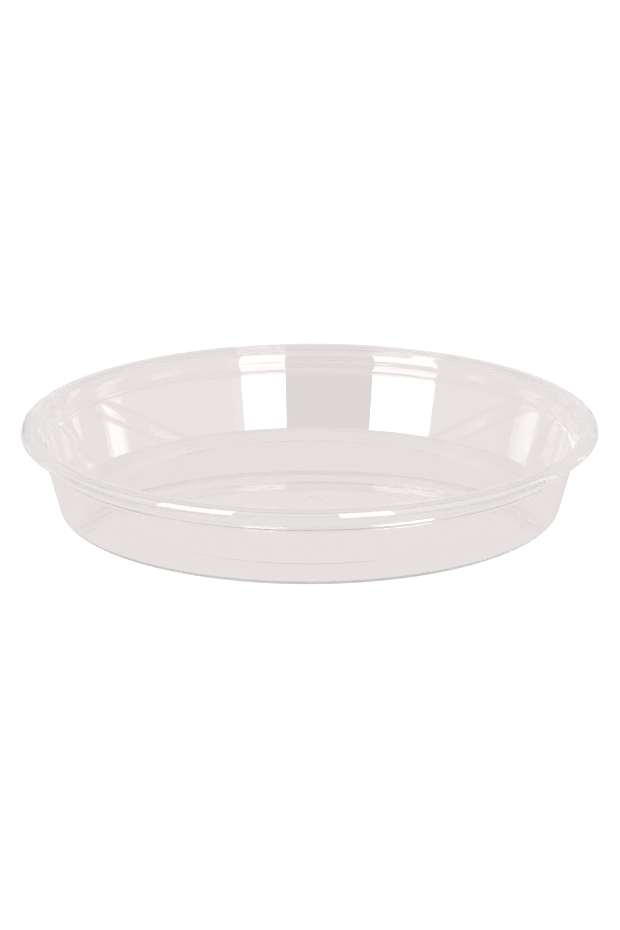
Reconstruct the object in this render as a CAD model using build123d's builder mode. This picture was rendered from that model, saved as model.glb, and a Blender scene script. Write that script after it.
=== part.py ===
import os
from math import cos, radians, sin, tan

from build123d import *

# Clear moulded saucer for a plant pot, in millimetres.
# It is one sheet of plastic, turned about Z, with no separate pieces.
# The origin is the centre of the foot's underside, and +Z points up.

# Whole saucer
rim_radius = 105.0
height = 31.6
sheet = 1.3

# Rim: the sheet rolls outward over its crest in two bends and slopes down to its edge
rim_reach = 4.4
rim_inner_round = 2.0
rim_outer_round = 2.8
rim_slope = 20.5
rim_edge_break = 0.3

# Band under the rim, and the stacking step that carries it
band_draft = 9.5
step_width = 1.5
step_rise = 0.5

# Wall, from the foot's outer corner up to the step. The corner has two bends.
step_height = 22.5
wall_draft = 15.2
corner_low_round = 2.2
corner_high_round = 1.8
corner_low_share = 0.65

# Foot ring, and the floor that is raised inside it
foot_width = 8.7
floor_ramp_width = 8.6
floor_rise = 0.8

# Gate mark, a round dimple under the middle of the floor with the gate's stub in it
dimple_radius = 2.9
dimple_depth = 0.35
gate_radius = 0.5
gate_length = 0.25

os.makedirs("parts", exist_ok=True)

# Each of the rim's bends takes half of its turn. The crest is the top of the outer bend.
bend_turn = (90 - band_draft + rim_slope) / 2
bends_meet = radians(bend_turn - rim_slope)
rounds_gap = rim_outer_round - rim_inner_round
outer_centre = Vector(rim_radius - rim_reach, height - rim_outer_round)
inner_centre = outer_centre + Vector(-sin(bends_meet), cos(bends_meet)) * rounds_gap

# The outside skin is worked out from the rim inward, and downward to the foot.
draft = radians(band_draft)
band_top = inner_centre + Vector(-cos(draft), sin(draft)) * (rim_inner_round - sheet)
band_foot_height = step_height + step_rise
band_foot_radius = band_top.X - (band_top.Y - band_foot_height) * tan(draft)
step_radius = band_foot_radius - step_width
corner_turn = 90 - wall_draft
low_turn = corner_turn * corner_low_share
turned = radians(low_turn)
upright = radians(corner_turn)
corner_low = Vector(sin(turned), 1 - cos(turned)) * corner_low_round
corner_high = Vector(sin(upright) - sin(turned), cos(turned) - cos(upright)) * corner_high_round
corner = corner_low + corner_high
foot_outer_radius = step_radius - (step_height - corner.Y) * tan(radians(wall_draft)) - corner.X
foot_inner_radius = foot_outer_radius - foot_width
floor_radius = foot_inner_radius - floor_ramp_width

with BuildPart() as saucer:
    with BuildSketch(Plane.XZ) as section:
        with BuildLine():
            floor = Line((0, floor_rise), (floor_radius, floor_rise))
            ramp = Line(floor @ 1, (foot_inner_radius, 0))
            foot = Line(ramp @ 1, (foot_outer_radius, 0))
            low_bend = JernArc(foot @ 1, foot % 1, corner_low_round, low_turn)
            high_bend = JernArc(low_bend @ 1, low_bend % 1, corner_high_round, corner_turn - low_turn)
            wall = Line(high_bend @ 1, (step_radius, step_height))
            ledge = Line(wall @ 1, (band_foot_radius, band_foot_height))
            band = Line(ledge @ 1, band_top)
            inner_bend = JernArc(band @ 1, band % 1, rim_inner_round - sheet, -bend_turn)
            outer_bend = JernArc(inner_bend @ 1, inner_bend % 1, rim_outer_round - sheet, -bend_turn)
            PolarLine(outer_bend @ 1, rim_reach, direction=outer_bend % 1)
            offset(amount=sheet, side=Side.LEFT, kind=Kind.TANGENT)
        make_face()
        # The rim is trimmed to its diameter, and both corners of its edge are broken.
        Rectangle(rim_radius, height + sheet, align=(Align.MIN, Align.MIN), mode=Mode.INTERSECT)
        chamfer(section.vertices().group_by(Axis.X)[-1], length=rim_edge_break)
    revolve(axis=Axis.Z)

    # The dimple is sunk into the underside, and the gate's stub stands inside it.
    with BuildSketch(Plane.XY.offset(floor_rise)):
        Circle(dimple_radius)
    extrude(amount=dimple_depth, mode=Mode.SUBTRACT)
    with BuildSketch(Plane.XY.offset(floor_rise + dimple_depth - gate_length)):
        Circle(gate_radius)
    extrude(amount=gate_length)

saucer.part.label = "saucer"
export_step(saucer.part, "parts/saucer.step")

print("foot ring, inner and outer radius", round(foot_inner_radius, 2), round(foot_outer_radius, 2))
print("radius inside the step", round(step_radius - sheet, 2))
print("volume in cubic millimetres", round(saucer.part.volume))
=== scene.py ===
"""Looks, light and camera for a clear moulded plant saucer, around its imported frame."""
import math

import bpy
from mathutils import Matrix, Vector


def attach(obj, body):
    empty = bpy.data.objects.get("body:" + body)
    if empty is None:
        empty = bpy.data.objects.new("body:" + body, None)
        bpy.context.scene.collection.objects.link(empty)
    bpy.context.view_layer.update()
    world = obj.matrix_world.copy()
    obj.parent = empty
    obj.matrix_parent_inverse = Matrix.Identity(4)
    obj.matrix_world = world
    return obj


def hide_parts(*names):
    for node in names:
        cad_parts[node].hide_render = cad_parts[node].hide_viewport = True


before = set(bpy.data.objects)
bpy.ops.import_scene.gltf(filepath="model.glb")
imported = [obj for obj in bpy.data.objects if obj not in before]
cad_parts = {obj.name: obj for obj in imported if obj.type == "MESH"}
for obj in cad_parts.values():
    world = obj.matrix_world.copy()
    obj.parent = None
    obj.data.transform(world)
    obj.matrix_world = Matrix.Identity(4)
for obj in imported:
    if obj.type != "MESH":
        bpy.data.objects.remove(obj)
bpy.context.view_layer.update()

MM = 0.001

# The saucer's section in millimetres, worked out from the rim inward as in the part's source
RIM_RADIUS = 105.0
HEIGHT = 31.6
SHEET = 1.3
RIM_REACH = 4.6
RIM_ROUND = 2.5
RIM_SLOPE = 26.0
RIM_EDGE_ROUND = 0.35
BAND_DRAFT = 7.0
STEP_WIDTH = 2.02
STEP_RISE = 2.9
STEP_LOW_ROUND = 3.0
STEP_HIGH_ROUND = 3.0
STEP_HEIGHT = 21.2
WALL_DRAFT = 15.2
FOOT_CORNER_ROUND = 2.0
FOOT_WIDTH = 10.2
FLOOR_RAMP_WIDTH = 8.6
FLOOR_RISE = 0.8
FLOOR_BEND_ROUND = 6.0

# The inner skin above the wall: the step's corner, the ledge, and a band that curves out twice
INNER_STEP = (95.55, 22.3)
INNER_STEP_ROUND = 0.4
INNER_LEDGE_RISE = 0.45
INNER_LEDGE_WIDTH = 1.2
INNER_LEDGE_ROUND = 0.3
INNER_BAND_LOW_DRAFT = 20.0
INNER_BAND_DRAFT = 5.5
INNER_BAND_HIGH_DRAFT = 23.0
INNER_BAND_ROUND = 10.0
INNER_RIM_ROUND = 2.4
INNER_RIM_RADIUS = 100.9

# The rim's outer face, which leans in towards its top and swells a little
FACE_TOP = (104.45, 30.95)
FACE_TOP_ROUND = 0.5
FACE_MIDDLE = (104.8, 30.1)
FACE_MIDDLE_ROUND = 4.0
FACE_FOOT = (105.0, 29.2)
FACE_FOOT_ROUND = 0.8

# The gate mark under the floor, a little off the axis
DIMPLE_RADIUS = 2.9
DIMPLE_DEPTH = 0.35
GATE_RADIUS = 0.5
GATE_LENGTH = 0.25
GATE_EDGE_ROUND = 0.12
GATE_OFFSET = Vector((1.4, 1.0))
GATE_OFFSET_FADE = 20.0

# The mesh: steps round the axis, angle per step in a bend, and longest step on a straight run
TURN_STEPS = 680
BEND_STEP = math.radians(10)
RUN_STEP = 40.0

# The clear plastic. Lengths here are in metres, and scales are per metre.
PLASTIC_TINT = (0.99, 0.99, 0.99)
PLASTIC_IOR = 1.59
PLASTIC_DEPTH_TINT = (0.70, 0.72, 0.74)
PLASTIC_DEPTH_DENSITY = 4
HAZE_SCALE = 60
HAZE_DETAIL = 6
HAZE_START = 0.35
HAZE_END = 0.75
HAZE_ROUGHNESS = 0.03
WAVE_SCALE = 25
WAVE_DETAIL = 1
WAVE_HEIGHT = 0.00005

# The photograph's frame and camera, in pixels and metres, with the sensor in millimetres
FRAME_HEIGHT_PX = 930
CREST_CENTRE_PX = Vector((309.74, 422.25))
FRAME_CENTRE_PX = Vector((310, 465))
FOCAL_PX = 5243.3
SENSOR_MM = 36
VIEW_ELEVATION = math.radians(17.14)
VIEW_DISTANCE = 1.9074
VIEW_ROLL = math.radians(-0.126)
VIEW_CLIP_END = 20


def left_of(direction):
    """The direction turned a quarter turn to the left."""
    return Vector((-direction.y, direction.x))


def offset_corners(corners, distance):
    """The corners of the polyline that runs at a distance to the left of the given one."""
    moved = []
    for index, corner in enumerate(corners):
        before = corners[max(index - 1, 0)]
        after = corners[min(index + 1, len(corners) - 1)]
        into = (corner - before) if index else (after - corner)
        out = (after - corner) if index < len(corners) - 1 else into
        normal_in = left_of(into.normalized())
        normal_out = left_of(out.normalized())
        moved.append(corner + (normal_in + normal_out) * distance / (1 + normal_in.dot(normal_out)))
    return moved


def round_path(corners, rounds):
    """Points and left normals along a polyline, with each corner turned into a round bend."""
    path = []
    last = corners[0]
    for index, corner in enumerate(corners[1:], 1):
        into = (corner - corners[index - 1]).normalized()
        end = index == len(corners) - 1
        reach = 0
        turn = 0
        if not end:
            out = (corners[index + 1] - corner).normalized()
            turn = math.atan2(into.x * out.y - into.y * out.x, into.dot(out))
            reach = rounds[index] * math.tan(abs(turn) / 2)
        start = corner - into * reach
        run = (start - last).length
        steps = max(1, math.ceil(run / RUN_STEP))
        for step in range(0 if index == 1 else 1, steps + 1):
            path.append((last.lerp(start, step / steps), left_of(into)))
        last = start
        if end:
            continue
        side = math.copysign(1, turn)
        centre = start + left_of(into) * rounds[index] * side
        bend_steps = max(2, math.ceil(abs(turn) / BEND_STEP))
        for step in range(1, bend_steps + 1):
            angle = turn * step / bend_steps
            normal = Matrix.Rotation(angle, 2) @ left_of(into)
            last = centre - normal * rounds[index] * side
            path.append((last, normal))
    return path


def meet(start, angle, other, other_angle):
    """Where a line through start meets a line through other, both at angles from level."""
    along = Vector((math.cos(angle), math.sin(angle)))
    across = left_of(Vector((math.cos(other_angle), math.sin(other_angle))))
    return start + along * ((other - start).dot(across) / along.dot(across))


def inner_top():
    """Corners and rounds of the inner skin, from the step's corner up over the rim and down its face."""
    step = Vector(INNER_STEP)
    ledge = step + Vector((INNER_LEDGE_WIDTH, INNER_LEDGE_RISE))
    low, middle, high = [
        math.radians(90 - draft)
        for draft in (INNER_BAND_LOW_DRAFT, INNER_BAND_DRAFT, INNER_BAND_HIGH_DRAFT)
    ]
    crest = Vector((INNER_RIM_RADIUS, HEIGHT - INNER_RIM_ROUND))
    on_high = crest + Vector((-math.sin(high), math.cos(high))) * INNER_RIM_ROUND
    face_top = Vector(FACE_TOP)
    reach = face_top - crest
    slope = math.atan2(reach.y, reach.x) + math.acos(INNER_RIM_ROUND / reach.length) - math.radians(90)
    on_slope = crest + Vector((-math.sin(slope), math.cos(slope))) * INNER_RIM_ROUND
    rim_corner = meet(on_slope, slope, on_high, high)
    ledge_angle = math.atan(INNER_LEDGE_RISE / INNER_LEDGE_WIDTH)
    ledge_reach = INNER_LEDGE_ROUND * math.tan((low - ledge_angle) / 2)
    low_reach = INNER_BAND_ROUND * math.tan((middle - low) / 2)
    low_corner = ledge + Vector((math.cos(low), math.sin(low))) * (ledge_reach + low_reach)
    high_corner = meet(low_corner, middle, on_high, high)
    corners = [
        step, ledge, low_corner, high_corner, rim_corner,
        face_top, Vector(FACE_MIDDLE), Vector(FACE_FOOT),
    ]
    rounds = [
        INNER_STEP_ROUND, INNER_LEDGE_ROUND, INNER_BAND_ROUND, INNER_BAND_ROUND, INNER_RIM_ROUND,
        FACE_TOP_ROUND, FACE_MIDDLE_ROUND, FACE_FOOT_ROUND,
    ]
    return corners, rounds


def section():
    """The closed half section as points and outward normals, from under the floor to above it."""
    slope = math.radians(-RIM_SLOPE)
    band_angle = math.radians(90 - BAND_DRAFT)
    wall_slope = math.tan(math.radians(WALL_DRAFT))
    under_round = RIM_ROUND - SHEET
    bend_centre = Vector((RIM_RADIUS - RIM_REACH, HEIGHT - RIM_ROUND))
    under_rim = bend_centre + Vector((math.sin(-slope), math.cos(slope))) * under_round
    on_band = bend_centre + Vector((-math.sin(band_angle), math.cos(band_angle))) * under_round
    under_corner = meet(under_rim, slope, on_band, band_angle)
    step_top = STEP_HEIGHT + STEP_RISE
    band_foot = Vector((on_band.x - (on_band.y - step_top) / math.tan(band_angle), step_top))
    step = Vector((band_foot.x - STEP_WIDTH, STEP_HEIGHT))
    wall_foot = Vector((step.x - STEP_HEIGHT * wall_slope, 0))
    foot_inner = Vector((wall_foot.x - FOOT_WIDTH, 0))
    floor_edge = Vector((foot_inner.x - FLOOR_RAMP_WIDTH, FLOOR_RISE))
    rim_end = meet(under_rim, slope, Vector((RIM_RADIUS, 0)), math.radians(90))

    outside = [
        Vector((0, FLOOR_RISE)), floor_edge, foot_inner, wall_foot,
        step, band_foot, under_corner, rim_end,
    ]
    outside_rounds = [
        0, FLOOR_BEND_ROUND, FLOOR_BEND_ROUND, FOOT_CORNER_ROUND,
        STEP_LOW_ROUND, STEP_HIGH_ROUND, under_round, RIM_EDGE_ROUND,
    ]
    inside = offset_corners(outside, SHEET)[:4]
    inside_rounds = [
        0, FLOOR_BEND_ROUND + SHEET, FLOOR_BEND_ROUND - SHEET, FOOT_CORNER_ROUND - SHEET,
    ]
    upper, upper_rounds = inner_top()
    inside += upper
    inside_rounds += upper_rounds

    roof = FLOOR_RISE + DIMPLE_DEPTH
    gate_end = roof - GATE_LENGTH
    gate = [
        Vector((0, gate_end)), Vector((GATE_RADIUS, gate_end)), Vector((GATE_RADIUS, roof)),
        Vector((DIMPLE_RADIUS, roof)), Vector((DIMPLE_RADIUS, FLOOR_RISE)),
    ]
    gate_rounds = [0] + [GATE_EDGE_ROUND] * (len(gate) - 1)
    corners = gate + outside[1:] + inside[::-1]
    rounds = gate_rounds + outside_rounds[1:] + inside_rounds[::-1]
    return [(point, -normal) for point, normal in round_path(corners, rounds)]


def lathe(name, path):
    """Turns the section about the axis. Its middle leans towards the gate mark."""
    vertices = []
    normals = []
    faces = []
    for point, normal in path[1:-1]:
        lean = GATE_OFFSET * max(0, 1 - point.x / GATE_OFFSET_FADE)
        for step in range(TURN_STEPS):
            angle = math.tau * step / TURN_STEPS
            cosine = math.cos(angle)
            sine = math.sin(angle)
            place = (point.x * cosine + lean.x, point.x * sine + lean.y, point.y)
            vertices.append([value * MM for value in place])
            normals.append((normal.x * cosine, normal.x * sine, normal.y))
    rings = len(path) - 2
    for ring in range(rings - 1):
        for step in range(TURN_STEPS):
            after = (step + 1) % TURN_STEPS
            low = ring * TURN_STEPS
            high = low + TURN_STEPS
            faces.append((low + step, low + after, high + after, high + step))
    for point, normal, ring in ((path[0][0], -1, 0), (path[-1][0], 1, rings - 1)):
        pole = len(vertices)
        vertices.append((GATE_OFFSET.x * MM, GATE_OFFSET.y * MM, point.y * MM))
        normals.append((0, 0, normal))
        first = ring * TURN_STEPS
        for step in range(TURN_STEPS):
            pair = (first + step, first + (step + 1) % TURN_STEPS)
            faces.append((pair[1], pair[0], pole) if ring == 0 else (pair[0], pair[1], pole))
    mesh = bpy.data.meshes.new(name)
    mesh.from_pydata(vertices, [], faces)
    mesh.polygons.foreach_set("use_smooth", [True] * len(mesh.polygons))
    mesh.normals_split_custom_set_from_vertices(normals)
    mesh.update()
    piece = bpy.data.objects.new(name, mesh)
    bpy.context.scene.collection.objects.link(piece)
    return piece


def new_material(name):
    material = bpy.data.materials.new(name)
    material.use_nodes = True
    material.node_tree.nodes.clear()
    return material, material.node_tree.nodes, material.node_tree.links


def clear_plastic():
    """Clear moulded sheet: smooth, with a slow waviness, and a fine haze that varies."""
    material, nodes, links = new_material("clear_plastic")
    place = nodes.new("ShaderNodeTexCoord")
    shader = nodes.new("ShaderNodeBsdfPrincipled")
    shader.inputs["Base Color"].default_value = (*PLASTIC_TINT, 1)
    shader.inputs["Transmission Weight"].default_value = 1
    shader.inputs["IOR"].default_value = PLASTIC_IOR
    haze = nodes.new("ShaderNodeTexNoise")
    haze.inputs["Scale"].default_value = HAZE_SCALE
    haze.inputs["Detail"].default_value = HAZE_DETAIL
    haze_range = nodes.new("ShaderNodeMapRange")
    haze_range.inputs["From Min"].default_value = HAZE_START
    haze_range.inputs["From Max"].default_value = HAZE_END
    haze_range.inputs["To Min"].default_value = 0
    haze_range.inputs["To Max"].default_value = HAZE_ROUGHNESS
    links.new(place.outputs["Object"], haze.inputs["Vector"])
    links.new(haze.outputs["Fac"], haze_range.inputs["Value"])
    links.new(haze_range.outputs["Result"], shader.inputs["Roughness"])
    wave = nodes.new("ShaderNodeTexNoise")
    wave.inputs["Scale"].default_value = WAVE_SCALE
    wave.inputs["Detail"].default_value = WAVE_DETAIL
    bump = nodes.new("ShaderNodeBump")
    bump.inputs["Strength"].default_value = 1
    bump.inputs["Distance"].default_value = WAVE_HEIGHT
    links.new(place.outputs["Object"], wave.inputs["Vector"])
    links.new(wave.outputs["Fac"], bump.inputs["Height"])
    links.new(bump.outputs["Normal"], shader.inputs["Normal"])
    depth = nodes.new("ShaderNodeVolumeAbsorption")
    depth.inputs["Color"].default_value = (*PLASTIC_DEPTH_TINT, 1)
    depth.inputs["Density"].default_value = PLASTIC_DEPTH_DENSITY
    output = nodes.new("ShaderNodeOutputMaterial")
    links.new(shader.outputs["BSDF"], output.inputs["Surface"])
    links.new(depth.outputs["Volume"], output.inputs["Volume"])
    return material


# The stage and the studio, in metres. Radiance 1 is the photograph's white.
TABLE_HALF_WIDTH = 0.2
TABLE_BACK = 1.2
TABLE_FRONT = 0.25
TABLE_DROP = 0.0003
TABLE_RADIANCE = (0.803, 0.757, 0.749)
CUT_OUT_RADIANCE = (1.1, 1.1, 1.1)
ROOM_RADIANCE = (0.83, 0.8, 0.79)
CEILING_RADIANCE = (0.38, 0.36, 0.355)
LIGHT_BOUNCES = 1000

# The dark parts of the ceiling: azimuth to the right of the camera, elevation and reach, in degrees.
# Each fades into the walls over a few degrees more.
CEILING_PARTS = ((0, 75, 46), (120, 55, 22), (-120, 55, 22))
CEILING_FADE = 6

# The cards that stand round the saucer: their radiance, and their distances and heights in metres
SOFTBOX_RADIANCE = (5.0, 5.0, 5.0)
SPILL_RADIANCE = (1.25, 1.25, 1.25)
GAP_RADIANCE = (0.03, 0.03, 0.03)
FILL_RADIANCE = (0.98, 0.93, 0.92)
STRIP_RADIANCE = (1.13, 1.13, 1.13)
WALL_STRIP_RADIANCE = (2.2, 2.2, 2.2)
THIN_STRIP_RADIANCE = (1.6, 1.6, 1.6)
NEAR = 1.6
MIDDLE = 2.3
FAR = 2.4
FULL_HEIGHT = (-0.3, 0.84)
SOFTBOX_RIGHT_HEIGHT = (-0.10, 0.84)
SOFTBOX_LEFT_HEIGHT = (0.12, 0.84)
LEANING_HEIGHT = (-0.3, 0.36)
LOW_HEIGHT = (-0.16, 0.07)

# Each card's name and material, its azimuths at the foot and at the top, in degrees to the right of
# the camera, and its distance and heights
CARDS = (
    ("softbox_right", "softbox", (11, 31.5), (11, 31.5), NEAR, SOFTBOX_RIGHT_HEIGHT),
    ("softbox_left", "softbox", (-59, -29), (-59, -29), NEAR, SOFTBOX_LEFT_HEIGHT),
    ("strip_right_1", "wall_strip", (109, 112), (88, 101), NEAR, LEANING_HEIGHT),
    ("strip_left_1", "strip", (-126, -112), (-126, -112), NEAR, LOW_HEIGHT),
    ("strip_right_2", "thin_strip", (132, 135), (117, 124), NEAR, LEANING_HEIGHT),
    ("strip_left_2", "strip", (-144, -136), (-144, -136), NEAR, LOW_HEIGHT),
    ("spill_right", "spill", (31.5, 43), (31.5, 43), MIDDLE, FULL_HEIGHT),
    ("dark_gap", "gap", (-30, 12), (-30, 12), FAR, FULL_HEIGHT),
    ("fill_right", "fill", (31.5, 98), (31.5, 98), FAR, FULL_HEIGHT),
    ("fill_left", "fill", (-98, -59), (-98, -59), FAR, FULL_HEIGHT),
)


def seen_or_lit(nodes, links, seen, lit):
    """A colour that is one value to the camera and another to every other ray."""
    rays = nodes.new("ShaderNodeLightPath")
    mix = nodes.new("ShaderNodeMix")
    mix.data_type = "RGBA"
    mix.clamp_factor = True
    mix.inputs["A"].default_value = (*lit, 1)
    mix.inputs["B"].default_value = (*seen, 1)
    links.new(rays.outputs["Is Camera Ray"], mix.inputs["Factor"])
    return mix.outputs["Result"]


def light(name, seen, lit):
    """An emission that the camera sees at one strength and the plastic at another."""
    material, nodes, links = new_material(name)
    emission = nodes.new("ShaderNodeEmission")
    output = nodes.new("ShaderNodeOutputMaterial")
    links.new(seen_or_lit(nodes, links, seen, lit), emission.inputs["Color"])
    links.new(emission.outputs["Emission"], output.inputs["Surface"])
    return material


def card(name, corners, material):
    mesh = bpy.data.meshes.new(name)
    mesh.from_pydata(corners, [], [(0, 1, 2, 3)])
    mesh.materials.append(material)
    piece = bpy.data.objects.new(name, mesh)
    bpy.context.scene.collection.objects.link(piece)
    return piece


def upright_card(name, material, foot, top, distance, heights):
    """A card that stands round the saucer, and that the camera doesn't see."""
    low, high = heights
    corners = []
    for azimuth, level in ((foot[0], low), (foot[1], low), (top[1], high), (top[0], high)):
        angle = math.radians(azimuth)
        corners.append((distance * math.sin(angle), -distance * math.cos(angle), level))
    card(name, corners, material).visible_camera = False


def room():
    """The studio's walls, which fade to a dark ceiling, and the white that the camera sees behind."""
    world = bpy.data.worlds.new("studio")
    bpy.context.scene.world = world
    world.use_nodes = True
    nodes = world.node_tree.nodes
    links = world.node_tree.links
    direction = nodes.new("ShaderNodeTexCoord")
    dark = None
    for azimuth, elevation, reach in CEILING_PARTS:
        turn = math.radians(azimuth)
        level = math.cos(math.radians(elevation))
        nearness = nodes.new("ShaderNodeVectorMath")
        nearness.operation = "DOT_PRODUCT"
        nearness.inputs[1].default_value = (
            level * math.sin(turn), -level * math.cos(turn), math.sin(math.radians(elevation)),
        )
        part = nodes.new("ShaderNodeMapRange")
        part.inputs["From Min"].default_value = math.cos(math.radians(reach + CEILING_FADE))
        part.inputs["From Max"].default_value = math.cos(math.radians(reach))
        links.new(direction.outputs["Generated"], nearness.inputs[0])
        links.new(nearness.outputs["Value"], part.inputs["Value"])
        if dark is None:
            dark = part.outputs["Result"]
            continue
        darker = nodes.new("ShaderNodeMath")
        darker.operation = "MAXIMUM"
        links.new(dark, darker.inputs[0])
        links.new(part.outputs["Result"], darker.inputs[1])
        dark = darker.outputs["Value"]
    walls = nodes.new("ShaderNodeMix")
    walls.data_type = "RGBA"
    walls.inputs["A"].default_value = (*ROOM_RADIANCE, 1)
    walls.inputs["B"].default_value = (*CEILING_RADIANCE, 1)
    links.new(dark, walls.inputs["Factor"])
    seen = seen_or_lit(nodes, links, CUT_OUT_RADIANCE, ROOM_RADIANCE)
    links.new(walls.outputs["Result"], seen.node.inputs["A"])
    links.new(seen, nodes["Background"].inputs["Color"])


def studio():
    """The room, the floor, and the cards that light the saucer or that it mirrors."""
    room()
    table = light("table", CUT_OUT_RADIANCE, TABLE_RADIANCE)
    card("floor", [
        (-TABLE_HALF_WIDTH, -TABLE_FRONT, -TABLE_DROP),
        (TABLE_HALF_WIDTH, -TABLE_FRONT, -TABLE_DROP),
        (TABLE_HALF_WIDTH, TABLE_BACK, -TABLE_DROP),
        (-TABLE_HALF_WIDTH, TABLE_BACK, -TABLE_DROP),
    ], table)
    radiances = {
        "softbox": SOFTBOX_RADIANCE,
        "gap": GAP_RADIANCE,
        "strip": STRIP_RADIANCE,
        "wall_strip": WALL_STRIP_RADIANCE,
        "thin_strip": THIN_STRIP_RADIANCE,
        "spill": SPILL_RADIANCE,
        "fill": FILL_RADIANCE,
    }
    materials = {name: light(name, radiance, radiance) for name, radiance in radiances.items()}
    for name, material, foot, top, distance, heights in CARDS:
        upright_card(name, materials[material], foot, top, distance, heights)


def camera():
    """The photograph's camera, placed so that the crest's centre lands where the photograph has it."""
    data = bpy.data.cameras.new("camera")
    data.lens = FOCAL_PX / FRAME_HEIGHT_PX * SENSOR_MM
    data.sensor_width = SENSOR_MM
    data.clip_end = VIEW_CLIP_END
    piece = bpy.data.objects.new("camera", data)
    crest_height = HEIGHT * MM
    offset = (CREST_CENTRE_PX - FRAME_CENTRE_PX) / FOCAL_PX
    pitch = VIEW_ELEVATION - math.atan(offset.y)
    place = Vector((
        -offset.x * VIEW_DISTANCE,
        -VIEW_DISTANCE * math.cos(VIEW_ELEVATION),
        crest_height + VIEW_DISTANCE * math.sin(VIEW_ELEVATION),
    ))
    turn = Matrix.Rotation(math.radians(90) - pitch, 4, "X") @ Matrix.Rotation(VIEW_ROLL, 4, "Z")
    piece.matrix_world = Matrix.Translation(place) @ turn
    bpy.context.scene.collection.objects.link(piece)
    bpy.context.scene.camera = piece


saucer = lathe("saucer_shell", section())
saucer.data.materials.append(clear_plastic())
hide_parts("saucer")
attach(saucer, "root")
studio()
camera()

scene = bpy.context.scene
scene.view_settings.view_transform = "Standard"
scene.cycles.max_bounces = LIGHT_BOUNCES
scene.cycles.transmission_bounces = LIGHT_BOUNCES
scene.cycles.glossy_bounces = LIGHT_BOUNCES
